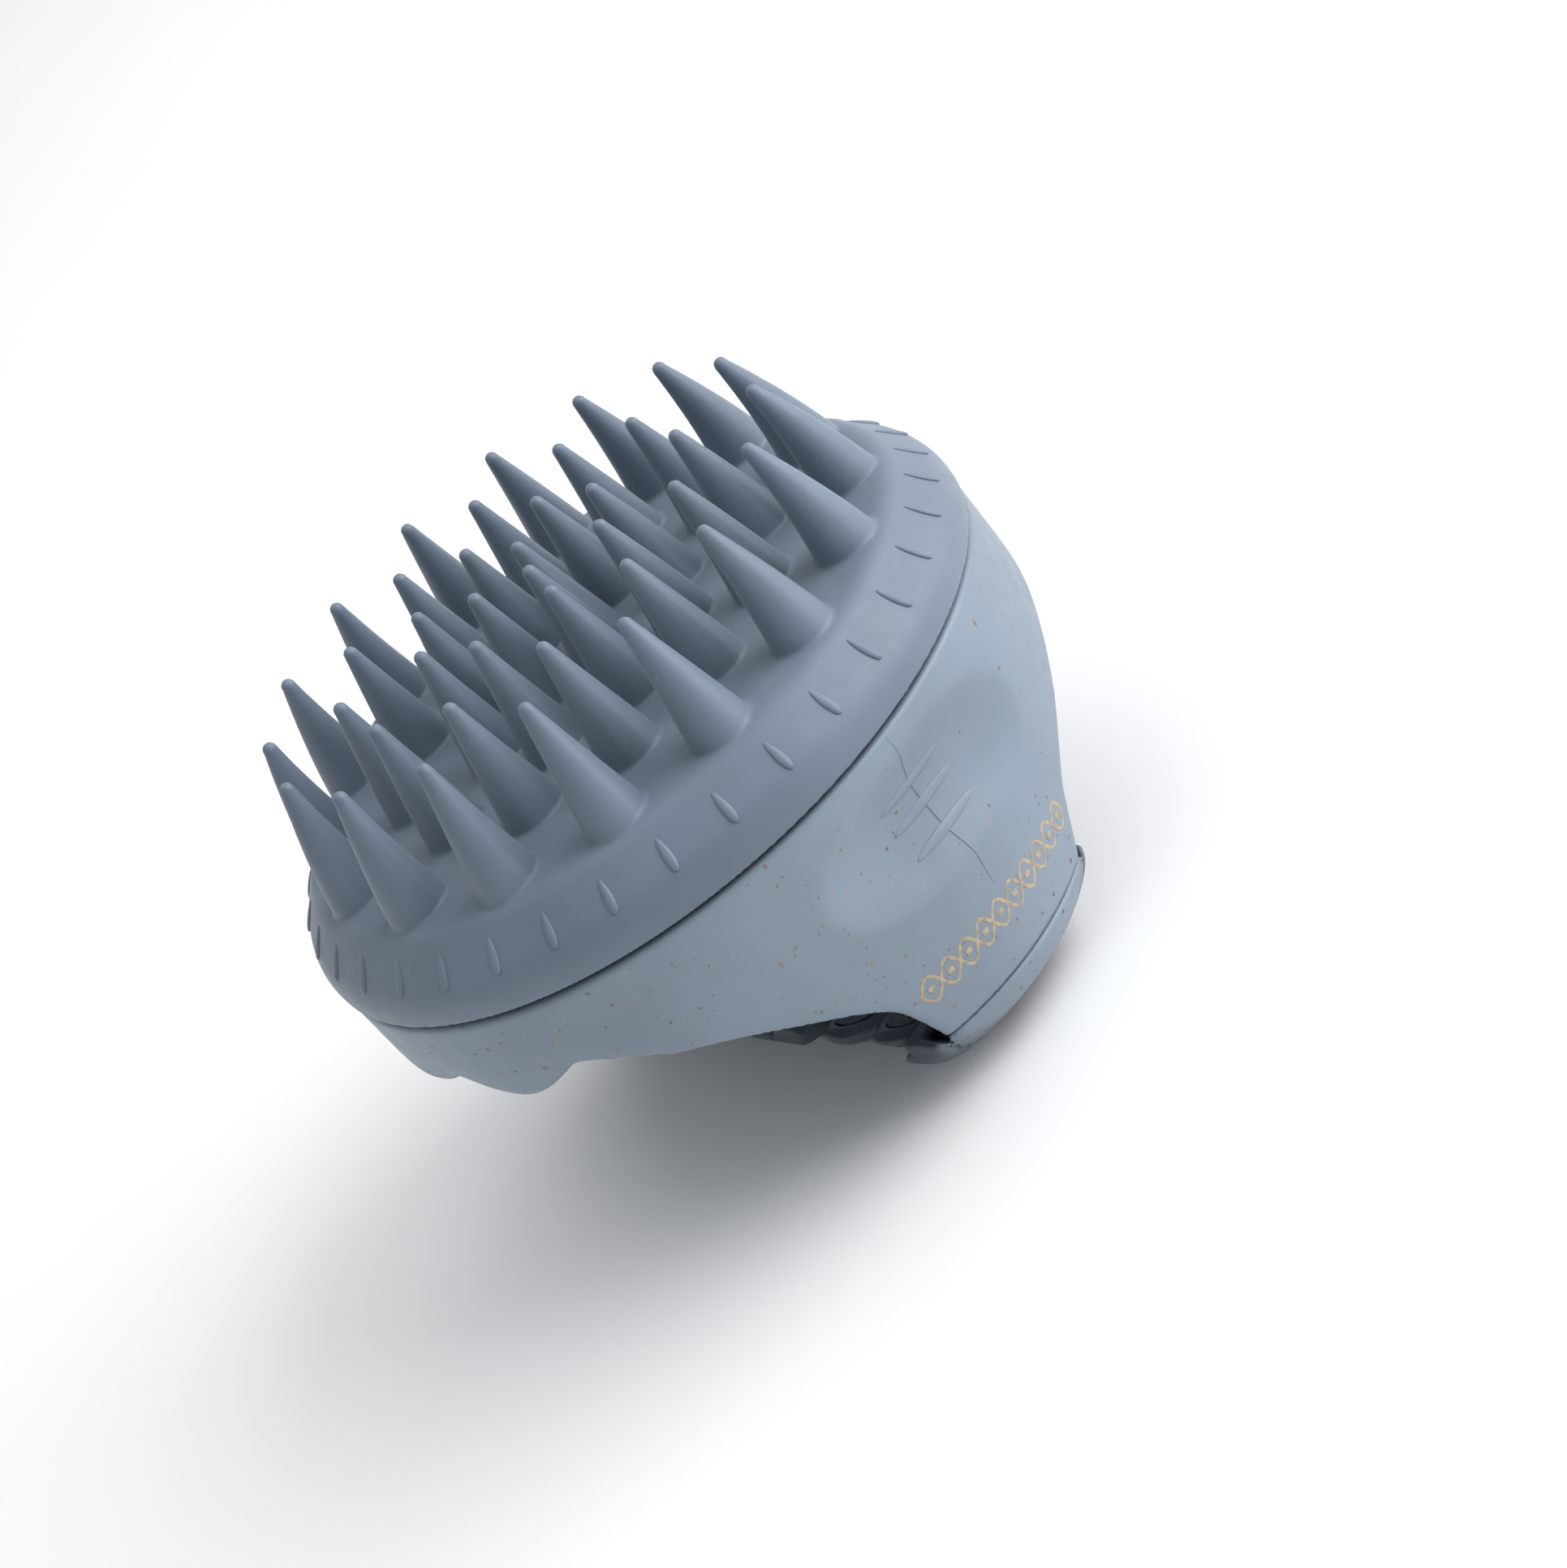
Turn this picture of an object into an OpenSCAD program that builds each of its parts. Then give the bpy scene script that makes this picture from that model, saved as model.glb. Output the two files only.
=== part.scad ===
// Scalp massager brush, standing on its palm cap with the bristles up.
// X runs from leg to leg, Y along the finger tunnel, Z along the axis of the head.

/* [Head] */
// Outer diameter of the silicone pad at its rim
head_d = 85.4; // [84:0.2:88]
// Diameter of the flat face that carries the bristles
face_d = 76; // [74:0.5:78]
// Height of the pad rim, from the face to the gap
rim_h = 8.6; // [8:0.1:9]
// Width of the gap between pad and handle
gap = 0.5; // [0.3:0.1:0.8]
// Thickness of the silicone face
pad_wall = 2.4; // [2:0.1:3]

/* [Bristles] */
// Height of a bristle above the face
bristle_h = 14.7; // [12:0.1:16]
// Diameter of a bristle where it meets the face
bristle_base_d = 7.2; // [6:0.1:7.6]
// Diameter of the rounded tip
bristle_tip_d = 1.6; // [1.2:0.1:2.4]
// Turn of the pad on the handle, about the axis of the head
pad_turn = -59.3; // [-90:0.1:90]

/* [Handle] */
// Outer diameter of the handle below the pad
shell_d = 84.8; // [84:0.2:86]
// Height of the handle, from the foot to the pad's gap
shell_top = 39.9; // [39:0.1:42]
// Height of the seam between the handle and the palm cap
seam_z = 8; // [7.8:0.1:8.4]
// Wall of the hollow mouldings
wall = 2; // [1.8:0.1:2.2]

/* [Finger tunnel] */
// Width of the tunnel mouth between the legs
mouth_w = 71.2; // [70:0.2:72]
// Radius of the upper corners of the mouth
corner_r = 14; // [12:0.5:15]
// Width of the tunnel at its narrowest, in the middle
waist_w = 62; // [60:0.5:64]
// Spacing of the three finger grooves in the tunnel roof
groove_pitch = 17.2; // [16:0.1:18]
// Height of the roof of a finger groove above the foot
groove_z = 32; // [31.6:0.1:32.6]
// Spacing of the rounded reeds on the finger grip
reed_pitch = 8.2; // [7.8:0.1:8.4]

/* [Palm bar] */
// Width of the palm bar across the tunnel
bar_w = 28; // [26:0.5:29]
// Length of the flat foot under the palm cap
foot_l = 40; // [34:1:46]

/* [Hidden] */
$fn = 96;

face_z = shell_top + gap + rim_h;          // flat face of the pad
pad_bottom = shell_top + gap;
plate_top = face_z - pad_wall;
plate_t = 3;                               // thickness of the backing plate
plate_bottom = plate_top - plate_t;
plate_r = head_d / 2 - 3.4;                // the pad's rim wraps over this edge
skirt_r = 36.5;                            // plug of the backing plate
skirt_h = 6.5;
lip_r = skirt_r + 0.7;                     // inner edge of the pad's wrapped rim
flange_r = skirt_r + 0.2;                  // opening in the top of the handle
flange_t = 2.2;
floor_z = groove_z + wall;                 // inside floor of the handle
boss_r = 3.4;                              // screw posts of the handle
boss_ring = 27;                            // radius of the ring of posts
screw_count = 4;
screw_r = 1.45;
plate_screw_l = 9.5;
head_r = 2.8;
head_h = 1.8;
corner_x = mouth_w / 2 - corner_r;
corner_z = face_z - 33;
groove_r = 11;
leg_r = 23.6;                              // round inner face of a leg, seen from above
leg_x = waist_w / 2 + leg_r;
dish_r = 11.8;                             // thumb dish: radius, depth and place
dish_deep = 2.7;
dish_x = shell_d / 2 - dish_deep + dish_r;
dish_z = face_z - 20;
cap_screw_x = 34.6;                        // screws from the legs down into the cap
cap_screw_seat = seam_z + 3.6;
cap_screw_l = 7;
cap_screw_scale = 0.85;
cap_bore_r = cap_screw_scale * screw_r;
cap_bore_low = cap_screw_seat - cap_screw_scale * cap_screw_l - 0.1;
grip_bottom = 3;                           // underside of the finger grip
reed_r = 5;
reed_low = 5.6;                            // bottom of the creases between the reeds
reed_end = 3.5 * reed_pitch;               // beyond this the rim of the cap is plain
waist_slope = 33.2;                        // slope of the scalloped flank, from the vertical
waist_low = 6.6;                           // distance of the flank's creases from the foot centre
lobe_reach = 8.1;                          // distance of the flank's lobes from the foot centre
crown_r = 18.3;                            // round of the palm cap across the bar
crown_z = crown_r - 1.5;
cap_wall = 2.4;
foot_wall = 0.9;                           // walls of the cap under and beside the grip
lobe_wall = 1.8;
grip_clear = 0.15;                         // play between parts that fit in one another

// Rings of bristles: [count, first angle, base radius, tip radius]
RINGS = [
  [16, 0, 33.8, 31.9],
  [12, 0, 23.4, 22.5],
  [8, 0, 13.3, 12.6],
  [3, 60, 4.7, 4.4],
];
rib_count = 36;
rib_phase = 6.8;

// Points on an arc, for the rounded edges of a turned profile
function arc(x, z, r, from, to, steps = 6) =
  [for (i = [0:steps]) let (a = from + (to - from) * i / steps) [x + r * cos(a), z + r * sin(a)]];

module ring_of(count, first = 0) {
  for (i = [0:count - 1]) rotate([0, 0, first + i * 360 / count]) children();
}

// Outline of the pad's rim: flat face, sloped band, round shoulder, upright edge
function rim_points() = concat(
  [[0, face_z], [face_d / 2 - 0.6, face_z]],
  arc(face_d / 2 - 0.6, face_z - 3, 3, 80, 52, 3),
  arc(head_d / 2 - 3.6, face_z - 6.2, 3.6, 46, 0, 5),
  [[head_d / 2 - 0.1, pad_bottom + 0.4], [head_d / 2 - 0.5, pad_bottom]]);

// One bristle on the +X axis, leaning in towards the centre, cut off level with the face
module bristle(base_r, tip_r) {
  sunk = 0.8;
  tip = bristle_tip_d / 2;
  rise = bristle_h - tip + sunk;
  lean = -atan((base_r - tip_r) / bristle_h);
  difference() {
    translate([base_r, 0, face_z - sunk]) rotate([0, lean, 0]) union() {
      cylinder(h = rise, r1 = bristle_base_d / 2, r2 = tip);
      translate([0, 0, rise]) sphere(tip);
    }
    translate([base_r - 10, -10, face_z - 10]) cube([20, 20, 10]);
  }
}

// Spindle along Z, for the small raised ribs
module spindle(half_length, r) {
  rotate_extrude($fn = 24) polygon([
    [0, -half_length], [0.6 * r, -0.62 * half_length], [r, 0],
    [0.6 * r, 0.62 * half_length], [0, half_length]]);
}

// Rib lying on the sloped band of the rim
module rib() {
  translate([face_d / 2 + 2.4, 0, face_z - 2.45]) rotate([0, 138, 0]) spindle(2.5, 0.6);
}

// The bristles are moulded in one with the pad; as a node of their own, each is a plain solid
module bristles() {
  color("#64738a") rotate([0, 0, pad_turn])
    for (ring = RINGS) ring_of(ring[0], ring[1]) bristle(ring[2], ring[3]);
}

module bristle_pad() {
  color("#64738a") difference() {
    union() {
      rotate_extrude() polygon(concat(rim_points(), [[0, pad_bottom]]));
      rotate([0, 0, pad_turn]) ring_of(rib_count, rib_phase) rib();
    }
    translate([0, 0, plate_bottom]) cylinder(h = plate_t, r = plate_r);
    translate([0, 0, pad_bottom - 1]) cylinder(h = plate_bottom - pad_bottom + 2, r = lip_r);
  }
}

module backing_plate() {
  edge = grip_clear;
  color("#8b98a5") difference() {
    union() {
      translate([0, 0, plate_bottom + edge]) cylinder(h = plate_t - 2 * edge, r = plate_r - edge);
      translate([0, 0, plate_bottom - skirt_h]) cylinder(h = skirt_h + 1, r = skirt_r);
    }
    translate([0, 0, plate_bottom - skirt_h - 1]) cylinder(h = skirt_h + 1, r = skirt_r - wall);
    ring_of(screw_count, 45) translate([boss_ring, 0, 0]) {
      translate([0, 0, plate_bottom - 1]) cylinder(h = plate_t + 2, r = screw_r + 0.2);
      translate([0, 0, plate_top - edge - head_h]) cylinder(h = 3, r = head_r + 0.2);
    }
  }
}

// Pan-head screw along +Z, the underside of its head at z = 0 and a cross recess on top
module screw(length) {
  difference() {
    union() {
      translate([0, 0, -length]) cylinder(h = length, r = screw_r);
      cylinder(h = head_h - 0.3, r = head_r);
    }
    for (a = [0, 90]) rotate([0, 0, a]) translate([-1.5, -0.35, head_h - 1.3]) cube([3, 0.7, 2]);
  }
}

module plate_screws() {
  color("silver") ring_of(screw_count, 45)
    translate([boss_ring, 0, plate_top - grip_clear - head_h]) screw(plate_screw_l);
}

module cap_screws() {
  color("silver") for (side = [-1, 1])
    translate([side * cap_screw_x, 0, cap_screw_seat]) scale(cap_screw_scale) screw(cap_screw_l);
}

// Side view of the finger tunnel: round corners at the legs and three finger grooves
module tunnel_outline() {
  for (side = [-1, 1]) translate([side * corner_x, corner_z]) circle(corner_r);
  for (i = [-1:1]) translate([i * groove_pitch, groove_z - groove_r]) circle(groove_r);
  translate([-corner_x, seam_z - 3]) square([2 * corner_x, groove_z - groove_r - seam_z + 9.8]);
  translate([-mouth_w / 2, seam_z - 3]) square([mouth_w, corner_z - seam_z + 3]);
}

module tunnel() {
  difference() {
    rotate([90, 0, 0]) linear_extrude(height = shell_d + 10, center = true) tunnel_outline();
    for (side = [-1, 1]) translate([side * leg_x, 0, 0]) cylinder(h = shell_top, r = leg_r);
  }
}

// Turned outline of the handle, from the straight wall in to the seam
module shell_body() {
  r = shell_d / 2;
  rotate_extrude() polygon([
    [0, seam_z], [r - 4.4, seam_z], [r - 3, seam_z + 4.5], [r - 2.1, seam_z + 9],
    [r - 1, seam_z + 14], [r - 0.3, seam_z + 18], [r, seam_z + 21], [r, shell_top - 0.3],
    [r - 0.3, shell_top], [0, shell_top]]);
}

// Shallow dish for the thumb in a leg's outer wall
module thumb_dish() {
  translate([dish_x, 0, dish_z]) rotate([90, 0, 0])
    cylinder(h = 40, r = dish_r, center = true);
}

// Three small ridges on the bottom of the dish, their pointed ends sunk in it
module thumb_ridges() {
  sunk = 0.15;
  for (dz = [-2.4, 1.1, 4])
    translate([dish_x - sunk - sqrt(dish_r * dish_r - dz * dz), 0, dish_z + dz])
      rotate([90, 0, 0]) spindle(5, 0.5);
}

// Hollow in a leg, from the inside of the handle down to the seat of the cap screw
module leg_hollow() {
  slot = [4, 14];
  head_room = 5.2;
  translate([cap_screw_x - 1.9, -slot[1] / 2, cap_screw_seat])
    cube([slot[0], slot[1], floor_z - cap_screw_seat + 1]);
  translate([cap_screw_x - head_room / 2, -head_room / 2, cap_screw_seat])
    cube([head_room, head_room, 3]);
}

module handle_shell() {
  post_h = plate_bottom - floor_z - 0.2;
  color("#7a8a98") difference() {
    union() {
      difference() {
        shell_body();
        tunnel();
        translate([0, 0, floor_z])
          cylinder(h = shell_top - flange_t - floor_z, r = shell_d / 2 - wall - 1);
        translate([0, 0, shell_top - flange_t - 1]) cylinder(h = flange_t + 2, r = flange_r);
        for (side = [0, 180]) rotate([0, 0, side]) {
          thumb_dish();
          leg_hollow();
        }
      }
      for (side = [0, 180]) rotate([0, 0, side]) thumb_ridges();
      ring_of(screw_count, 45) translate([boss_ring, 0, floor_z - 0.5])
        cylinder(h = post_h + 0.5, r = boss_r);
    }
    ring_of(screw_count, 45) translate([boss_ring, 0, floor_z - 0.2])
      cylinder(h = post_h + 1, r = screw_r);
    for (side = [-1, 1]) translate([side * cap_screw_x, 0, seam_z - 1])
      cylinder(h = 6, r = cap_bore_r + 0.15);
  }
}

// Section of the bar across the tunnel, crowned towards the palm
module bar_section(inset) {
  half_w = bar_w / 2 - inset / 3;
  intersection() {
    translate([0, crown_z]) circle(crown_r - inset);
    translate([-half_w, -2]) square([2 * half_w, seam_z + 2]);
  }
}

// Solid outline of the palm bar: turned ends, crowned underside, flat foot
module bar_body() {
  r = shell_d / 2 - 4.4;
  intersection() {
    rotate_extrude() polygon([
      [0, 0], [foot_l / 2, 0], [foot_l / 2 + 8, 1.2], [r - 5, 2.9], [r - 2, 4.5],
      [r - 0.8, 6], [r, seam_z], [0, seam_z]]);
    rotate([90, 0, 90]) linear_extrude(height = shell_d, center = true) bar_section(0);
  }
}

// Space between the two legs inside the cap's wall, where the finger grip sits
module grip_space(clear) {
  difference() {
    rotate([90, 0, 90]) linear_extrude(height = mouth_w - 2 * clear, center = true)
      bar_section(cap_wall + clear);
    for (side = [-1, 1]) translate([side * leg_x, 0, -5]) cylinder(h = 20, r = leg_r + clear);
  }
}

// Everything below the reeds, which are rounded and run along the tunnel
module under_reeds() {
  for (i = [-3:3]) translate([i * reed_pitch, 0, seam_z - reed_r]) rotate([90, 0, 0])
    cylinder(h = bar_w + 4, r = reed_r, center = true);
  translate([-shell_d / 2, -bar_w, -1]) cube([shell_d, 2 * bar_w, reed_low + 1]);
  for (side = [0, 180]) rotate([0, 0, side])
    translate([reed_end, -bar_w, -1]) cube([shell_d / 2, 2 * bar_w, seam_z + 2]);
}

// Outline of the lobes that the reeds make on the flank of the bar, seen along the flank
module flank_lobes() {
  translate([-shell_d / 2, -40]) square([shell_d, 40 + waist_low]);
  for (side = [-1, 1]) {
    for (i = [2, 3]) translate([side * i * reed_pitch, lobe_reach - reed_r]) circle(reed_r);
    translate([side * (reed_end + 30), -20]) square([60, 80], center = true);
  }
  translate([-1.4 * reed_pitch, -40]) square([2.8 * reed_pitch, 80]);
}

// Space between the two scalloped flanks of the bar, less a wall
module within_lobes(inset) {
  intersection_for (side = [0, 180]) rotate([0, 0, side]) rotate([-waist_slope, 0, 0])
    translate([0, -inset, -60]) linear_extrude(height = 120) flank_lobes();
}

module finger_grip() {
  color("#52606e") intersection() {
    grip_space(grip_clear);
    translate([-50, -50, grip_bottom]) cube([100, 100, seam_z - 0.2 - grip_bottom]);
    under_reeds();
    within_lobes(lobe_wall + grip_clear);
  }
}

module palm_cap() {
  color("#7a8a98") difference() {
    intersection() {
      bar_body();
      under_reeds();
      within_lobes(0);
    }
    intersection() {
      grip_space(0);
      within_lobes(lobe_wall);
      translate([-50, -50, foot_wall]) cube([100, 100, 20]);
    }
    for (side = [-1, 1]) translate([side * cap_screw_x, 0, cap_bore_low])
      cylinder(h = 6, r = cap_bore_r);
  }
}

bristle_pad();
bristles();
backing_plate();
plate_screws();
handle_shell();
finger_grip();
palm_cap();
cap_screws();
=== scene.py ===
import math

import bpy
import numpy as np
from mathutils import Matrix, Vector


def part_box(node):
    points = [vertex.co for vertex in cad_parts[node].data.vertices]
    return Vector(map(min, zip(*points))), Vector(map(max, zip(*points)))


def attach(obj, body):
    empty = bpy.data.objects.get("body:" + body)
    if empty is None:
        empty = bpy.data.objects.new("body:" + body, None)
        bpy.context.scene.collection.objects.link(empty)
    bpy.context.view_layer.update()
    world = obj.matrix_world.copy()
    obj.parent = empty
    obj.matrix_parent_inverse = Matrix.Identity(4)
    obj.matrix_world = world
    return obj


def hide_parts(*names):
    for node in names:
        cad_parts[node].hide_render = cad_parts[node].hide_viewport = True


# The looks of the scalp massager brush. Every moulding is described by a field: a function of
# x, y and z in millimetres that is negative inside the material. A grid net is drawn over each
# field and pulled onto its surface, so that fillets, dishes and grooves are real geometry.

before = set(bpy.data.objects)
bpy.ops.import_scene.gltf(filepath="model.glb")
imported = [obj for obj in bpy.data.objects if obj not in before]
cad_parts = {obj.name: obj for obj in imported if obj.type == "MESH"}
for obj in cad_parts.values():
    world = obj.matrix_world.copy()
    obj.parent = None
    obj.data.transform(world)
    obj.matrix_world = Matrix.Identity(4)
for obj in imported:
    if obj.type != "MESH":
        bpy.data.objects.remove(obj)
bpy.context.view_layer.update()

MM = 0.001


def z_range(node):
    """Lowest and highest z of a CAD node, in millimetres."""
    low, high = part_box(node)
    return low[2] / MM, high[2] / MM


# ---- Sizes, in millimetres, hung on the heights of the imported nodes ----
PAD_LOW, _ = z_range("bristle_pad")
FACE, TIP = z_range("bristles")
SHELL_LOW, _ = z_range("handle_shell")
SHELL_TOP = PAD_LOW - 0.5
GRIP_LOW, _ = z_range("finger_grip")
SEAM = z_range("palm_cap")[1]
PLATE_LOW, PLATE_TOP = FACE - 5.4, FACE - 2.4

HEAD_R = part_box("bristle_pad")[1][0] / MM
SHELL_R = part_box("handle_shell")[1][0] / MM
PLATE_R = HEAD_R - 3.4    # recess in the pad for the backing plate
LIP_R = 37.2              # inner edge of the pad's wrapped rim
FLANGE_R = 36.7           # opening in the top of the handle
SEAM_GAP = 0.12
RIM_SLOPE = (0.74, 0.673)  # outward direction of the rim's sloped band, out and up
SLOPE_R, SLOPE_DROP = 38.3, 0.35

# Rings of bristles: count, first angle, radius at the base, radius at the tip
RINGS = [(16, 0, 33.8, 31.9), (12, 0, 23.4, 22.5), (8, 0, 13.3, 12.6), (3, 60, 4.7, 4.4)]
PAD_TURN = -59.3
BRISTLE_BASE_R, BRISTLE_TIP_R, BRISTLE_BEND = 3.6, 0.8, 1.6
RIB_COUNT, RIB_PHASE = 36, 6.8
RIB_R, RIB_DROP = 40.7, 2.95
RIB_HALF_L, RIB_HALF_W, RIB_H = 1.95, 0.7, 0.33

REACH_END = 4.5           # how far the legs draw in between their roots and the seam
PLAN_R_END = 28.0         # roundness of a leg at the seam, seen from above
CORNER_X, CORNER_Z, CORNER_R, CORNER_DROP = 21.6, FACE - 34.1, 14.0, 20.9
GROOVE_PITCH, GROOVE_R, GROOVE_TOP = 17.2, 11.0, FACE - 17
MOUTH_ROOF, MOUTH_FROM, MOUTH_OVER = FACE - 20.5, 24, 12
LEG_IN_X, LEG_IN_R = 54.6, 23.6
FLOOR_IN = GROOVE_TOP + 2
CHAMBER_WALL, TUNNEL_WALL = 4.0, 2.6
LEG_SLOT_X, LEG_SLOT_HALF = 34.7, (2, 7)
POST_AT, POST_R = 19.09, 3.4
DISH_Z, DISH_HALF_W, DISH_HALF_H, DISH_DEEP = FACE - 18.8, 16.2, 7.6, 2.7
BAR_HALF_W, BAR_END_R, BAR_END_X = 14.0, 26.4, 12.0
CROWN_R, CROWN_LOW = 18.3, -1.5
CAP_WALL, FOOT_WALL = 2.4, 1.1
GRIP_CLEAR, GRIP_HALF_L = 0.15, 35.2
REED_PITCH, REED_R, REED_LOW = 8.2, 5.0, 5.6
REED_END = 3.5 * REED_PITCH
FLANK = (0.837, 0.547)    # outward direction of the bar's flanks, across and down
LOBE_LOW, LOBE_REACH, LOBE_WALL = 5.4, 8.1, 1.8
LOBE_LEAN = 1.1           # how fast the lobes lean towards the middle of the bar


# ---- Fields: the small numbers at the end of soft_max and soft_min are edge radii ----
def soft_max(a, b, k):
    """The larger of two fields, with the crease between them rounded over about k."""
    h = np.clip(0.5 + 0.5 * (a - b) / k, 0, 1)
    return b + (a - b) * h + k * h * (1 - h)


def soft_min(a, b, k):
    return -soft_max(-a, -b, k)


def smooth_step(t):
    t = np.clip(t, 0, 1)
    return t * t * (3 - 2 * t)


def bristle_field(x, y, z):
    """Distance to the nearest bristle of each ring: a horn that bends in towards the centre."""
    rise = z - FACE
    height = TIP - FACE
    shoulder = height - BRISTLE_TIP_R
    angle = np.degrees(np.arctan2(y, x)) - PAD_TURN
    radius = np.hypot(x, y)
    best = np.full(np.broadcast(x, y, z).shape, 1e3)
    for count, first, base, tip in RINGS:
        spacing = 360 / count
        off = np.radians((angle - first + spacing / 2) % spacing - spacing / 2)
        share = np.clip(rise / shoulder, 0, 1)
        spine = base + (tip - base) * share ** BRISTLE_BEND
        along = radius * np.cos(off) - spine
        across = radius * np.sin(off)
        wall = BRISTLE_BASE_R + (BRISTLE_TIP_R - BRISTLE_BASE_R) * share
        side = np.hypot(along, across) - wall
        cap = np.sqrt(along ** 2 + across ** 2 + (rise - shoulder) ** 2) - BRISTLE_TIP_R
        best = np.minimum(best, np.where(rise < shoulder, side, cap))
    return best * 0.98    # cosine of the wall's lean


def pad_field(x, y, z):
    """Silicone pad with its bristles: sloped rim, wrapped edge, hollow for the backing plate."""
    r = np.hypot(x, y)
    slope = (r - SLOPE_R) * RIM_SLOPE[0] + (z - (FACE - SLOPE_DROP)) * RIM_SLOPE[1]
    edge_top = FACE - 6
    draws_in = 0.015 * (z - edge_top) ** 2 * (z < edge_top)
    body = soft_max(z - FACE, slope, 1.0)
    body = soft_max(body, r - HEAD_R + draws_in, 1.5)
    body = soft_max(body, PAD_LOW - z, 0.5)
    body = soft_min(body, bristle_field(x, y, z), 0.25)
    plate = np.maximum(np.maximum(r - PLATE_R, PLATE_LOW - z), z - PLATE_TOP)
    mouth = np.maximum(r - LIP_R, z - PLATE_LOW - 0.5)
    return np.maximum(body, -np.minimum(plate, mouth))


def wall_field(x, y, z):
    """Outer wall of the handle: round at the head, drawing in and rounding off down the legs."""
    draw = np.clip((FACE - 19 - z) / 22, 0, 1.6) ** 1.3
    reach = SHELL_R - REACH_END * draw
    rounding = np.clip((FACE - 24 - z) / 17, 0, 1.5) ** 1.4
    plan = np.minimum(SHELL_R - (SHELL_R - PLAN_R_END) * rounding, reach)
    side = np.hypot(np.maximum(np.abs(x) - (reach - plan), 0), y) - plan
    edge = (np.abs(y) / DISH_HALF_W) ** 2.6 + ((z - DISH_Z) / DISH_HALF_H) ** 2
    dent = DISH_DEEP * np.clip(1 - edge, 0, 1) ** 1.5
    on_a_leg = np.abs(x) > 20
    return side + dent * on_a_leg


def tunnel_field(x, y, z):
    """Finger tunnel: three grooves that grow shallow at the mouths, round corners, bulging legs."""
    ax = np.abs(x)
    across = x - GROOVE_PITCH * np.clip(np.round(x / GROOVE_PITCH), -1, 1)
    deep = GROOVE_TOP - GROOVE_R + np.sqrt(np.clip(GROOVE_R ** 2 - across ** 2, 1, None))
    ripple = 1.3 * np.cos(2 * np.pi * x / GROOVE_PITCH)
    shallow = MOUTH_ROOF + ripple
    to_mouth = smooth_step((np.abs(y) - MOUTH_FROM) / MOUTH_OVER)
    roof = deep + (shallow - deep) * to_mouth
    grooves = np.maximum(0.85 * (z - roof), ax - 1.45 * GROOVE_PITCH)
    drop = np.where(z > CORNER_Z, 1.05, CORNER_R / CORNER_DROP)
    corner = np.hypot(np.maximum(ax - CORNER_X, 0), (z - CORNER_Z) * drop) - CORNER_R
    below = np.maximum(z - CORNER_Z - 8, ax - CORNER_X - CORNER_R)
    corner = np.where(ax < CORNER_X, below, corner)
    void = soft_min(grooves, corner, 2.0)
    leg = np.hypot(ax - LEG_IN_X, y) - LEG_IN_R
    return soft_max(void, -leg, 1.5)


def hollow_field(x, y, z):
    """Inside of the handle: chamber under the pad, hollow legs, open top for the plate's plug."""
    r = np.hypot(x, y)
    chamber = np.maximum(r - SHELL_R + CHAMBER_WALL, FLOOR_IN - z)
    chamber = np.maximum(chamber, z - SHELL_TOP + 2.2)
    opening = np.maximum(r - FLANGE_R, SHELL_TOP - 3 - z)
    leg = np.maximum(np.abs(np.abs(x) - LEG_SLOT_X) - LEG_SLOT_HALF[0], np.abs(y) - LEG_SLOT_HALF[1])
    leg = np.maximum(leg, np.maximum(SHELL_LOW + 3.6 - z, z - FLOOR_IN - 1))
    posts = np.hypot(np.abs(x) - POST_AT, np.abs(y) - POST_AT) - POST_R
    posts = np.maximum(posts, z - PLATE_LOW + 0.4)
    inside = np.maximum(soft_min(np.minimum(chamber, opening), leg, 1.0), -posts)
    return np.maximum(inside, TUNNEL_WALL - tunnel_field(x, y, z))


def shell_field(x, y, z):
    """Handle: base under the pad and the two legs. Groove mouths are rounded generously."""
    body = soft_max(wall_field(x, y, z), z - SHELL_TOP, 0.7)
    above_arch = smooth_step((z - (FACE - 25)) / 6)
    rounding = 1.5 + 3.0 * above_arch * smooth_step((27 - np.abs(x)) / 6)
    body = soft_max(body, -tunnel_field(x, y, z), rounding)
    body = soft_max(body, SEAM + SEAM_GAP - z, 0.35)
    return np.maximum(body, -hollow_field(x, y, z))


def lobes_field(x, y, z):
    """Flanks of the bar below the tunnel: sloped under, with lobes where the reeds end."""
    out = FLANK[0] * np.abs(y) - FLANK[1] * z
    ax = np.abs(x) + LOBE_LEAN * np.clip(SEAM - 1 - z, 0, 5)
    lobes = out - LOBE_LOW
    for i, reach in ((2, LOBE_REACH + 0.3), (3, LOBE_REACH - 0.3)):
        lobes = np.minimum(lobes, np.hypot(ax - i * REED_PITCH, out - reach + REED_R) - REED_R)
    middle = np.maximum(ax - 1.35 * REED_PITCH, out - LOBE_REACH - 2.1)
    ends = np.maximum(REED_END - ax, out - LOBE_REACH - 1.7)
    return np.minimum(soft_min(lobes, middle, 1.5), soft_min(lobes, ends, 0.8))


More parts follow.
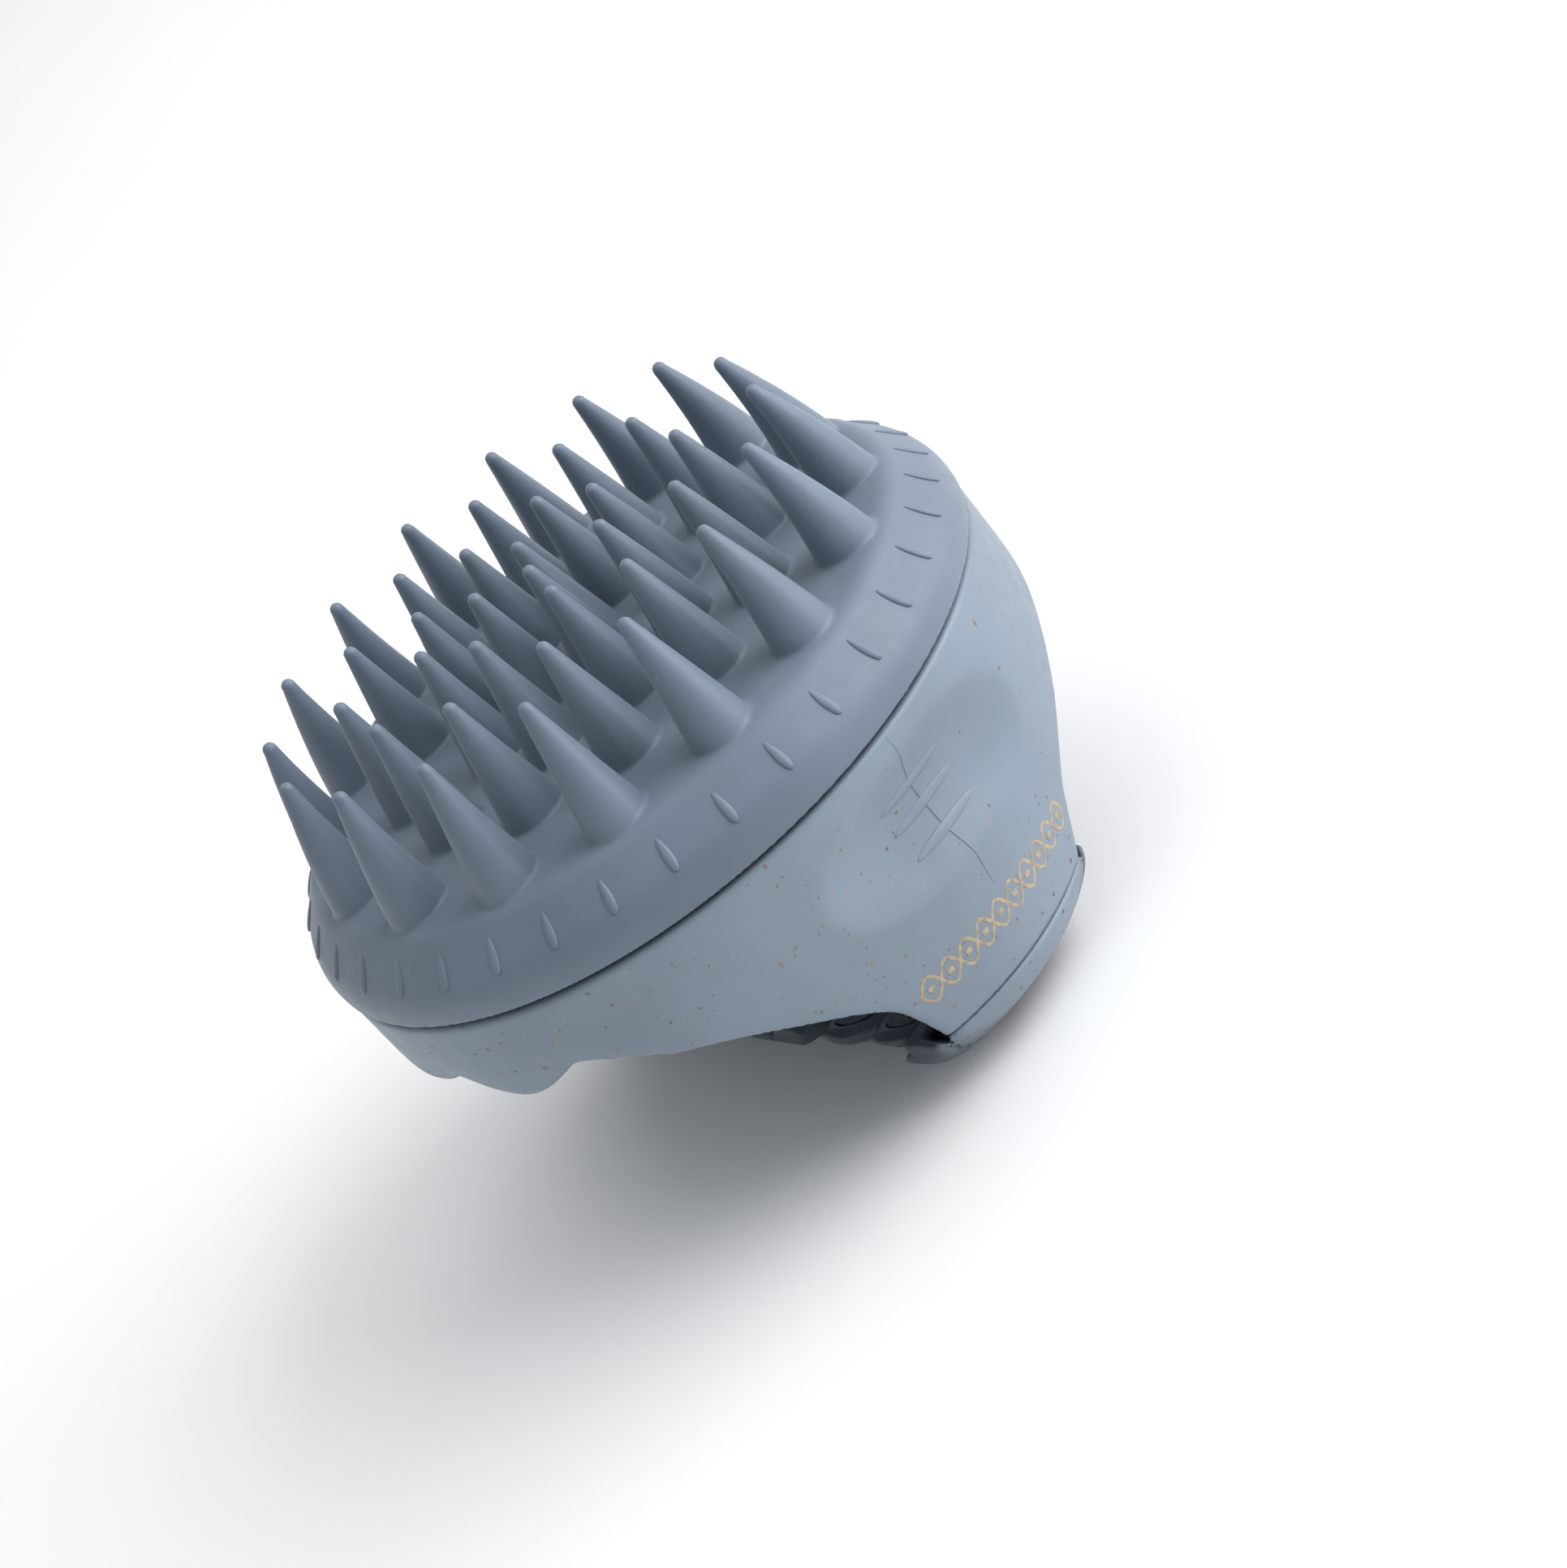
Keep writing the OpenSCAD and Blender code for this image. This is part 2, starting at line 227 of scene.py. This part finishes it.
def bar_field(x, y, z):
    """Palm bar below the seam: turned ends, crowned underside, flat foot, reeds on its top."""
    fall = np.clip((SEAM + 3 - z) / 11, 0, 1.2)
    side = np.hypot(np.maximum(np.abs(x) - BAR_END_X, 0), y) / BAR_END_R
    squareness = 3.2
    turned = (np.clip(side, 0, 2) ** squareness + fall ** 2.6) ** (1 / squareness)
    ends = (turned - 1) * BAR_END_R
    between_legs = smooth_step((32 - np.abs(x)) / 5)
    crown_r = CROWN_R + 0.8 * between_legs
    crown = np.hypot(y, z - CROWN_LOW - crown_r) - crown_r
    half_w = BAR_HALF_W + 0.6 * between_legs
    body = soft_max(soft_max(ends, crown, 1.5), np.abs(y) - half_w, 0.8)
    body = soft_max(body, lobes_field(x, y, z), 0.5)
    body = soft_max(body, -z, 0.8)
    plain_rim = np.maximum(z - SEAM, REED_END - np.abs(x))
    return soft_max(body, np.minimum(reed_field(x, z), plain_rim), 0.4)


def reed_field(x, z):
    """Rounded reeds that run along the tunnel, with sharp creases between them."""
    across = x - REED_PITCH * np.clip(np.round(x / REED_PITCH), -3, 3)
    return np.minimum(np.hypot(across, z - SEAM + REED_R) - REED_R, z - REED_LOW)


def trough_field(x, y, z, clear):
    """Room inside the palm cap's wall for the finger grip."""
    crown = np.hypot(y, z - CROWN_LOW - CROWN_R) - (CROWN_R - CAP_WALL - clear)
    leg = np.hypot(np.abs(x) - LEG_IN_X, y) - LEG_IN_R - clear
    room = np.maximum(np.maximum(crown, -leg), np.abs(x) - GRIP_HALF_L + clear)
    return np.maximum(room, lobes_field(x, y, z) + LOBE_WALL + clear)


def cap_field(x, y, z):
    """Palm cap: the bar less the room for the grip."""
    trough = np.maximum(trough_field(x, y, z, 0), FOOT_WALL - z)
    return np.maximum(bar_field(x, y, z), -trough)


def grip_field(x, y, z):
    """Finger grip: what fills the trough, up to its reeds."""
    body = np.maximum(trough_field(x, y, z, GRIP_CLEAR), GRIP_LOW - z)
    body = soft_max(body, reed_field(x, z), 0.3)
    return np.maximum(body, z - SEAM + 0.2)


# ---- From a field to a mesh ----
CORNERS = [(i, j, k) for i in (0, 1) for j in (0, 1) for k in (0, 1)]
EDGES = [(a, b) for a in range(8) for b in range(a + 1, 8)
         if sum(abs(p - q) for p, q in zip(CORNERS[a], CORNERS[b])) == 1]


def slopes(field, points, reach=0.04):
    """Value and gradient of a field at some points."""
    value = field(*points.T)
    slope = np.empty_like(points)
    for axis in range(3):
        step = np.zeros(3)
        step[axis] = reach
        slope[:, axis] = (field(*(points + step).T) - field(*(points - step).T)) / (2 * reach)
    return value, slope


def pull_on(field, points, step):
    """Moves points onto the field's zero surface, each by no more than a share of the grid."""
    value, slope = slopes(field, points)
    size = np.maximum((slope ** 2).sum(1), 0.05)
    move = -(value / size)[:, None] * slope
    length = np.linalg.norm(move, axis=1, keepdims=True)
    return points + move * np.minimum(1, 0.6 * step / np.maximum(length, 1e-9))


def relax(points, quads):
    """Moves each point half way to the middle of its neighbours."""
    total = np.zeros_like(points)
    count = np.zeros(len(points))
    for a, b in ((0, 1), (1, 2), (2, 3), (3, 0)):
        for p, q in ((quads[:, a], quads[:, b]), (quads[:, b], quads[:, a])):
            for axis in range(3):
                total[:, axis] += np.bincount(p, points[q, axis], len(points))
            count += np.bincount(p, minlength=len(points))
    return points + 0.5 * (total / count[:, None] - points)


def net_over(field, low, high, step):
    """Quads over the zero surface of a field, one point to each grid cell that it crosses."""
    axes = [np.arange(a - 2 * step, b + 2 * step, step) for a, b in zip(low, high)]
    y, z = np.meshgrid(axes[1], axes[2], indexing="ij")
    value = np.stack([field(np.full_like(y, x), y, z) for x in axes[0]])
    inside = value < 0
    shape = np.array(value.shape) - 1

    def corner(grid, c):
        return grid[c[0]:c[0] + shape[0], c[1]:c[1] + shape[1], c[2]:c[2] + shape[2]]

    full = sum(corner(inside, c).astype(np.int8) for c in CORNERS)
    active = np.argwhere((full > 0) & (full < 8))
    at = [value[tuple((active + c).T)] for c in CORNERS]
    total = np.zeros((len(active), 3))
    hits = np.zeros(len(active))
    for a, b in EDGES:
        crossed = (at[a] < 0) != (at[b] < 0)
        share = at[a][crossed] / (at[a][crossed] - at[b][crossed])
        start, end = np.array(CORNERS[a]), np.array(CORNERS[b])
        total[crossed] += start + share[:, None] * (end - start)
        hits[crossed] += 1
    points = (active + total / hits[:, None]) * step + np.array([a[0] for a in axes])

    number = np.full(shape, -1)
    number[tuple(active.T)] = np.arange(len(active))
    quads = []
    for axis in range(3):
        first = np.moveaxis(inside, axis, 0)
        crossed = np.moveaxis(first[1:] != first[:-1], 0, axis)
        cells = np.argwhere(crossed)
        others = [a for a in range(3) if a != axis]
        cells = cells[(cells[:, others] > 0).all(1) & (cells[:, others] < shape[others]).all(1)]
        u, v = np.eye(3, dtype=int)[others]
        loop = [cells, cells - u, cells - u - v, cells - v]
        quad = np.stack([number[tuple(c.T)] for c in loop], axis=1)
        outward = inside[tuple(cells.T)] ^ (axis == 1)
        quads.append(np.where(outward[:, None], quad, quad[:, ::-1]))
    return points, np.concatenate(quads)


def mesh_piece(name, points, faces):
    """A smooth-shaded mesh object from points in millimetres."""
    mesh = bpy.data.meshes.new(name)
    mesh.from_pydata((points * MM).tolist(), [], faces)
    mesh.shade_smooth()
    mesh.update()
    piece = bpy.data.objects.new(name, mesh)
    bpy.context.scene.collection.objects.link(piece)
    return piece


def moulding(name, field, low, high, step):
    """The mesh of a field between two corners, evened out and pulled onto the true surface."""
    points, quads = net_over(field, low, high, step)
    for _ in range(2):
        points = pull_on(field, relax(points, quads), step)
    for _ in range(3):
        points = pull_on(field, points, step)
    return mesh_piece(name, points, quads.tolist())


# ---- Raised details, as closed slender solids half sunk in a surface ----
def slender(path, widths, heights, normals, sides=12):
    """Closed solid along a path, with oval sections that close to a point at both ends."""
    path, normals = np.asarray(path, float), np.asarray(normals, float)
    tangents = np.gradient(path, axis=0)
    tangents /= np.linalg.norm(tangents, axis=1, keepdims=True)
    across = np.cross(tangents, normals)
    turn = np.linspace(0, 2 * np.pi, sides, endpoint=False)
    rings = [p + np.cos(turn)[:, None] * a * w + np.sin(turn)[:, None] * n * h
             for p, a, n, w, h in zip(path, across, normals, widths, heights)]
    points = np.concatenate(rings)
    faces = []
    for ring in range(len(path) - 1):
        for i in range(sides):
            j = (i + 1) % sides
            a, b = ring * sides, (ring + 1) * sides
            faces.append((a + i, a + j, b + j, b + i))
    faces.append(tuple(range(sides - 1, -1, -1)))
    faces.append(tuple(len(points) - sides + i for i in range(sides)))
    return points, faces


def join(name, parts):
    """One object from several lists of points and faces."""
    points, faces, start = [], [], 0
    for part_points, part_faces in parts:
        points.append(part_points)
        faces += [tuple(start + i for i in face) for face in part_faces]
        start += len(part_points)
    return mesh_piece(name, np.concatenate(points), faces)


def rim_ribs():
    """Spindle ribs standing on the sloped band of the rim."""
    along = np.linspace(-1, 1, 21)
    profile = np.sqrt(np.clip(1 - along ** 2, 0, 1)) * (0.75 + 0.25 * along)
    up = np.array([0, 0, 1.0])
    parts = []
    for i in range(RIB_COUNT):
        angle = math.radians(PAD_TURN + RIB_PHASE + i * 360 / RIB_COUNT)
        out = np.array([math.cos(angle), math.sin(angle), 0])
        normal = RIM_SLOPE[0] * out + RIM_SLOPE[1] * up
        down_slope = RIM_SLOPE[1] * out - RIM_SLOPE[0] * up
        middle = RIB_R * out + (FACE - RIB_DROP) * up
        path = middle + along[:, None] * RIB_HALF_L * down_slope
        widths = RIB_HALF_W * profile + 0.01
        heights = RIB_H * profile + 0.01
        parts.append(slender(path, widths, heights, np.tile(normal, (len(path), 1))))
    return join("rim_ribs", parts)


def on_leg(y, z, side):
    """Points on the outer wall of a leg at the given y and z, found by halving."""
    near, far = np.full_like(y, 25.0), np.full_like(y, 46.0)
    for _ in range(30):
        middle = (near + far) / 2
        inside = wall_field(middle, y, z) < 0
        near, far = np.where(inside, middle, near), np.where(inside, far, middle)
    return np.stack([side * near, y, z], axis=1)


def leg_strip(y, z, side, width, height):
    """A raised line on the outer wall of a leg, tapering at both ends."""
    path = on_leg(y, z, side)
    mirror = np.array([side, 1, 1])
    _, slope = slopes(wall_field, path * mirror)
    normals = slope / np.linalg.norm(slope, axis=1, keepdims=True) * mirror
    taper = np.sqrt(np.clip(1 - np.linspace(-1, 1, len(path)) ** 2, 0, 1))
    return slender(path, width * taper + 0.005, height * taper + 0.005, normals)


def thumb_ridges():
    """Three low ridges across each thumb dish."""
    half_length, half_width, height = 5, 0.6, 0.17
    parts = []
    y = np.linspace(-half_length, half_length, 25)
    for side in (-1, 1):
        for z in (FACE - 16, FACE - 18.9, FACE - 22.4):
            parts.append(leg_strip(y, np.full_like(y, z), side, half_width, height))
    return join("thumb_ridges", parts)


def parting_lines():
    """Fine raised line that the mould leaves down the middle of each leg."""
    z = np.linspace(SHELL_TOP - 0.4, FACE - 31, 60)
    y = 0.06 * np.sin(z * 0.9)
    return join("parting_lines", [leg_strip(y, z, side, 0.13, 0.1) for side in (-1, 1)])


def printed_line(y, z, width):
    """A thin flat line printed on the +X leg."""
    path = on_leg(y, z, 1)
    _, slope = slopes(wall_field, path)
    normals = slope / np.linalg.norm(slope, axis=1, keepdims=True)
    size = np.ones(len(path))
    return slender(path, width * size, 0.03 * size, normals)


def leg_ornament():
    """Printed band of two crossing waves with a dot in each loop, above the seam."""
    middle, half_length = SEAM + 7, 13
    wave, height = 5.2, 1.7
    y = np.linspace(-half_length, half_length, 157)
    parts = []
    for turn in (0, math.pi):
        z = middle + height * np.sin(2 * np.pi * y / wave + turn)
        parts.append(printed_line(y, z, 0.2))
    for centre in np.arange(-half_length + wave / 4, half_length, wave / 2):
        dot = np.linspace(-0.4, 0.4, 7)
        parts.append(printed_line(centre + dot, np.full_like(dot, middle), 0.38))
    return join("leg_ornament", parts)


# ---- Materials ----
class Graph:
    """A material's node tree, with short calls to add nodes and link them.

    Noise scales are given as features per millimetre, and bump distances in millimetres.
    """

    def __init__(self, name):
        self.material = bpy.data.materials.new(name)
        self.material.use_nodes = True
        self.tree = self.material.node_tree
        self.shader = self.tree.nodes["Principled BSDF"]
        self.place = self.add("TexCoord").outputs["Object"]

    def put(self, socket, value):
        if isinstance(value, bpy.types.NodeSocket):
            self.tree.links.new(value, socket)
        else:
            socket.default_value = value

    def add(self, kind, inputs=None, **settings):
        node = self.tree.nodes.new("ShaderNode" + kind)
        for key, value in settings.items():
            setattr(node, key, value)
        for key, value in (inputs or {}).items():
            self.put(node.inputs[key], value)
        return node

    def math(self, operation, a, b=0.0, clamp=False):
        node = self.add("Math", {0: a, 1: b}, operation=operation, use_clamp=clamp)
        return node.outputs[0]

    def noise(self, per_mm, detail=3.0, vector=None):
        node = self.add("TexNoise", {"Vector": vector or self.place, "Scale": per_mm / MM,
                                     "Detail": detail})
        return node.outputs["Fac"]

    def between(self, value, low, high, to_low=0.0, to_high=1.0):
        node = self.add("MapRange", {"Value": value, "From Min": low, "From Max": high,
                                     "To Min": to_low, "To Max": to_high})
        return node.outputs["Result"]

    def blend(self, share, a, b):
        node = self.add("Mix", data_type="RGBA")
        self.put(node.inputs["Factor"], share)
        self.put(node.inputs[6], a)
        self.put(node.inputs[7], b)
        return node.outputs[2]

    def bump(self, height, distance_mm, strength=1.0, normal=None):
        inputs = {"Height": height, "Distance": distance_mm * MM, "Strength": strength}
        node = self.add("Bump", inputs)
        if normal is not None:
            self.put(node.inputs["Normal"], normal)
        return node.outputs["Normal"]

    def flecks(self, cell_mm, size, share, stretch):
        """Mask of scattered flecks, and a random value for each one."""
        wobble = self.add("TexNoise", {"Vector": self.place, "Scale": 1.6 / MM, "Detail": 2.0})
        shift = self.add("VectorMath", {0: wobble.outputs["Color"], 1: (0.5, 0.5, 0.5)},
                         operation="SUBTRACT")
        shift = self.add("VectorMath", {0: shift.outputs[0], "Scale": 0.5 * MM},
                         operation="SCALE")
        moved = self.add("VectorMath", {0: self.place, 1: shift.outputs[0]}, operation="ADD")
        mapped = self.add("Mapping", {"Vector": moved.outputs[0], "Scale": stretch})
        cells = self.add("TexVoronoi", {"Vector": mapped.outputs[0], "Scale": 1 / (cell_mm * MM)})
        parts = self.add("SeparateColor", {"Color": cells.outputs["Color"]})
        radius = self.between(parts.outputs[1], 0, 1, 0.35 * size, size)
        body = self.math("SUBTRACT", radius, cells.outputs["Distance"])
        body = self.between(body, 0, 0.04)
        present = self.math("LESS_THAN", parts.outputs[0], share)
        return self.math("MULTIPLY", body, present, clamp=True), parts.outputs[2]


def colour(red, green, blue):
    return (red, green, blue, 1.0)


def lobe_shade_mask(g):
    """Mask of painted shade: the bar's lobed flanks between the legs, above its crowned underside,
    darkened to stand in for shade in the tunnel mouth.
    """
    along = g.add("SeparateXYZ", {"Vector": g.place}).outputs
    from_middle = g.math("ABSOLUTE", along[0])
    between_legs = g.between(from_middle, (REED_END + 7) * MM, (REED_END + 4.5) * MM)
    above_crown = g.between(along[2], 1.6 * MM, 3.0 * MM)
    return g.math("MULTIPLY", between_legs, above_crown, clamp=True)


# Layers of straw flecks: cell in millimetres, size, share of cells with a fleck, squeeze by axis
FLECK_LAYERS = [(1.5, 0.2, 1.0, (1, 1, 1.7)), (0.9, 0.19, 0.7, (1.5, 1, 1)),
                (2.4, 0.19, 1.0, (1, 1.6, 1))]
FLECK_DARKEST, FLECK_BROWN = colour(0.10, 0.075, 0.07), colour(0.19, 0.12, 0.085)
FLECK_TAN, FLECK_PALEST = colour(0.30, 0.24, 0.19), colour(0.38, 0.25, 0.16)
GRIP_PAINTED_SHADE = 0.3          # painted shade: tone of the grip and the lobes, as a share of the handle's, darkened to stand in for the shade inside the tunnel


def straw_plastic(name, tone, rough=0.42, painted_lobe_shade=False):
    """Satin moulded plastic with straw fibre flecks, cloudy tint and a slight moulding ripple; on
    request, painted shade on the bar's lobed flanks.
    """
    g = Graph(name)
    pale = colour(*[min(1.0, c * 1.08) for c in tone])
    deep = colour(*[c * 0.93 for c in tone])
    base = g.blend(g.between(g.noise(0.05), 0.35, 0.65), deep, pale)
    crowd = g.between(g.noise(0.03), 0.42, 0.62, 0.25, 1.0)
    for cell, size, share, stretch in FLECK_LAYERS:
        mask, pick = g.flecks(cell, size, g.math("MULTIPLY", crowd, share), stretch)
        ramp = g.add("ValToRGB", {"Fac": pick})
        stops = ramp.color_ramp.elements
        stops[0].color, stops[1].color = FLECK_DARKEST, FLECK_PALEST
        stops.new(0.4).color = FLECK_BROWN
        stops.new(0.75).color = FLECK_TAN
        base = g.blend(g.math("MULTIPLY", mask, 0.85), base, ramp.outputs["Color"])
    # painted shade: the lobed flanks are darkened to the grip's tone to stand in for shade in the
    # tunnel mouth
    if painted_lobe_shade:
        base = g.blend(lobe_shade_mask(g), base, colour(*[c * GRIP_PAINTED_SHADE for c in tone]))
    g.put(g.shader.inputs["Base Color"], base)
    satin = g.between(g.noise(0.4), 0.3, 0.7, rough - 0.05, rough + 0.07)
    g.put(g.shader.inputs["Roughness"], satin)
    ripple = g.bump(g.noise(0.12, 2.0), 0.25, 0.35)
    g.put(g.shader.inputs["Normal"], g.bump(g.noise(4.0, 2.0), 0.01, 0.5, ripple))
    return g.material


def silicone(name, tone):
    """Matte silicone: even tint, fine skin texture, a little dust that clings to it."""
    g = Graph(name)
    pale = colour(*[min(1.0, c * 1.06) for c in tone])
    deep = colour(*[c * 0.94 for c in tone])
    base = g.blend(g.between(g.noise(0.06), 0.35, 0.65), deep, pale)
    dust, _ = g.flecks(3.2, 0.06, 0.18, (1, 1, 1))
    base = g.blend(g.math("MULTIPLY", dust, 0.35), base, colour(0.5, 0.52, 0.55))
    g.put(g.shader.inputs["Base Color"], base)
    g.put(g.shader.inputs["Roughness"], g.between(g.noise(0.5), 0.3, 0.7, 0.43, 0.54))
    g.put(g.shader.inputs["Sheen Weight"], 0.15)
    g.put(g.shader.inputs["Sheen Roughness"], 0.5)
    g.put(g.shader.inputs["Normal"], g.bump(g.noise(5.0, 2.0), 0.008, 0.5))
    return g.material


def plain_moulding(name, tone):
    """Plain inner moulding with faint flow marks."""
    g = Graph(name)
    streak = g.add("Mapping", {"Vector": g.place, "Scale": (1, 4, 1)}).outputs[0]
    base = g.blend(g.noise(0.15, 4.0, streak), colour(*[c * 0.9 for c in tone]), colour(*tone))
    g.put(g.shader.inputs["Base Color"], base)
    g.put(g.shader.inputs["Roughness"], g.between(g.noise(1.0), 0.3, 0.7, 0.45, 0.6))
    g.put(g.shader.inputs["Normal"], g.bump(g.noise(3.0), 0.02, 0.4))
    return g.material


def screw_steel(name):
    """Zinc-plated steel with fine turning marks."""
    g = Graph(name)
    g.put(g.shader.inputs["Metallic"], 1.0)
    rings = g.add("Mapping", {"Vector": g.place, "Scale": (0.2, 0.2, 6)}).outputs[0]
    marks = g.noise(1.5, 3.0, rings)
    base = g.blend(marks, colour(0.52, 0.52, 0.53), colour(0.68, 0.68, 0.7))
    g.put(g.shader.inputs["Base Color"], base)
    g.put(g.shader.inputs["Roughness"], g.between(marks, 0.3, 0.7, 0.25, 0.4))
    g.put(g.shader.inputs["Normal"], g.bump(marks, 0.01, 0.4))
    return g.material


def tan_print(name):
    """Matte printed ink, slightly worn."""
    g = Graph(name)
    wear = g.between(g.noise(1.2, 4.0), 0.35, 0.6)
    base = g.blend(wear, colour(0.30, 0.25, 0.19), colour(0.47, 0.36, 0.23))
    g.put(g.shader.inputs["Base Color"], base)
    g.put(g.shader.inputs["Roughness"], g.between(wear, 0, 1, 0.6, 0.45))
    g.put(g.shader.inputs["Normal"], g.bump(g.noise(5.0), 0.01, 0.3))
    return g.material


def pale_floor(name):
    """Matte pale board, very slightly uneven."""
    g = Graph(name)
    base = g.blend(g.noise(0.01), colour(0.90, 0.90, 0.90), colour(0.93, 0.93, 0.93))
    g.put(g.shader.inputs["Base Color"], base)
    g.put(g.shader.inputs["Roughness"], 0.8)
    g.put(g.shader.inputs["Normal"], g.bump(g.noise(0.8), 0.02, 0.2))
    return g.material


PLASTIC_TONE = (0.196, 0.247, 0.306)
SILICONE_TONE = (0.127, 0.166, 0.222)

handle_plastic = straw_plastic("handle_plastic", PLASTIC_TONE)
# the cap's lobed flanks carry painted shade
cap_plastic = straw_plastic("cap_plastic", PLASTIC_TONE, painted_lobe_shade=True)
# painted shade: the finger grip is coloured darker than the handle to stand in for shade inside the
# tunnel
grip_plastic = straw_plastic("grip_plastic", [c * GRIP_PAINTED_SHADE for c in PLASTIC_TONE], 0.48)
pad_silicone = silicone("pad_silicone", SILICONE_TONE)
inner_plastic = plain_moulding("inner_plastic", (0.30, 0.34, 0.38))
zinc_steel = screw_steel("zinc_steel")


# ---- Pieces ----
def dress(piece, material):
    """Gives a piece its material, its body and its material slot's name."""
    piece.data.materials.clear()
    piece.data.materials.append(material)
    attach(piece, "root")


OUT = SHELL_R + 1         # half width of the grid round the pad and the handle
pad = moulding("silicone_pad", pad_field, (-OUT, -OUT, PAD_LOW), (OUT, OUT, TIP), 0.42)
dress(pad, pad_silicone)
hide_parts("bristle_pad", "bristles")
ribs = rim_ribs()
dress(ribs, pad_silicone)

shell = moulding("handle", shell_field, (-OUT, -OUT, SEAM), (OUT, OUT, SHELL_TOP), 0.45)
dress(shell, handle_plastic)
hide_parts("handle_shell")
for detail in (thumb_ridges(), parting_lines()):
    dress(detail, handle_plastic)

dress(leg_ornament(), tan_print("tan_print"))

cap = moulding("cap", cap_field, (-40, -18, 0), (40, 18, SEAM), 0.4)
dress(cap, cap_plastic)
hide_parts("palm_cap")

grip = moulding("reeded_grip", grip_field, (-37, -18, GRIP_LOW), (37, 18, SEAM), 0.4)
dress(grip, grip_plastic)
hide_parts("finger_grip")


def finish_node(node, material):
    """Gives a carried-over CAD node its material."""
    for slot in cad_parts[node].material_slots:
        slot.material = material


finish_node("backing_plate", inner_plastic)
finish_node("plate_screws", zinc_steel)
finish_node("cap_screws", zinc_steel)


# ---- Floor, lights and camera ----
def floor():
    """Square floor under the brush."""
    half = 3.0
    mesh = bpy.data.meshes.new("floor")
    mesh.from_pydata([(-half, -half, 0), (half, -half, 0), (half, half, 0), (-half, half, 0)],
                     [], [(0, 1, 2, 3)])
    piece = bpy.data.objects.new("floor", mesh)
    bpy.context.scene.collection.objects.link(piece)
    piece.data.materials.append(pale_floor("pale_floor"))


def area_light(name, azimuth, elevation, size, power):
    """Square soft light aimed at the brush. Azimuth is from +X towards +Y, in degrees."""
    distance, brush_middle = 2.0, Vector((0, 0, 0.035))
    a, e = math.radians(azimuth), math.radians(elevation)
    away = Vector((math.cos(a) * math.cos(e), math.sin(a) * math.cos(e), math.sin(e)))
    data = bpy.data.lights.new(name, "AREA")
    data.size, data.energy = size, power
    light = bpy.data.objects.new(name, data)
    light.location = away * distance + brush_middle
    light.rotation_euler = away.to_track_quat("Z", "Y").to_euler()
    bpy.context.scene.collection.objects.link(light)


def studio_world(strength):
    """Even, faintly cool light from all round."""
    world = bpy.data.worlds.new("studio")
    world.use_nodes = True
    background = world.node_tree.nodes["Background"]
    background.inputs["Color"].default_value = (0.95, 0.97, 1.0, 1)
    background.inputs["Strength"].default_value = strength
    bpy.context.scene.world = world


def photo_camera():
    """Camera on the +X side, a little towards -Y, above the bristles and rolled about its axis."""
    place = Vector((0.2862, -0.1258, 0.1791))
    aim = Vector((0.0032, 0.0068, 0.0236))
    roll = math.radians(40.65)
    lens = 73.4
    data = bpy.data.cameras.new("camera")
    data.sensor_width, data.lens = 36, lens
    data.clip_start, data.clip_end = 0.01, 20
    camera = bpy.data.objects.new("camera", data)
    bpy.context.scene.collection.objects.link(camera)
    level = (aim - place).to_track_quat("-Z", "Y").to_matrix().to_4x4()
    camera.matrix_world = Matrix.Translation(place) @ level @ Matrix.Rotation(-roll, 4, "Z")
    bpy.context.scene.camera = camera


floor()
area_light("key", azimuth=50, elevation=28, size=1.8, power=44.0)
area_light("side", azimuth=95, elevation=22, size=1.4, power=7.0)
area_light("top", azimuth=60, elevation=80, size=3.0, power=22.0)
studio_world(strength=0.45)
photo_camera()
bpy.context.scene.view_settings.view_transform = "Standard"
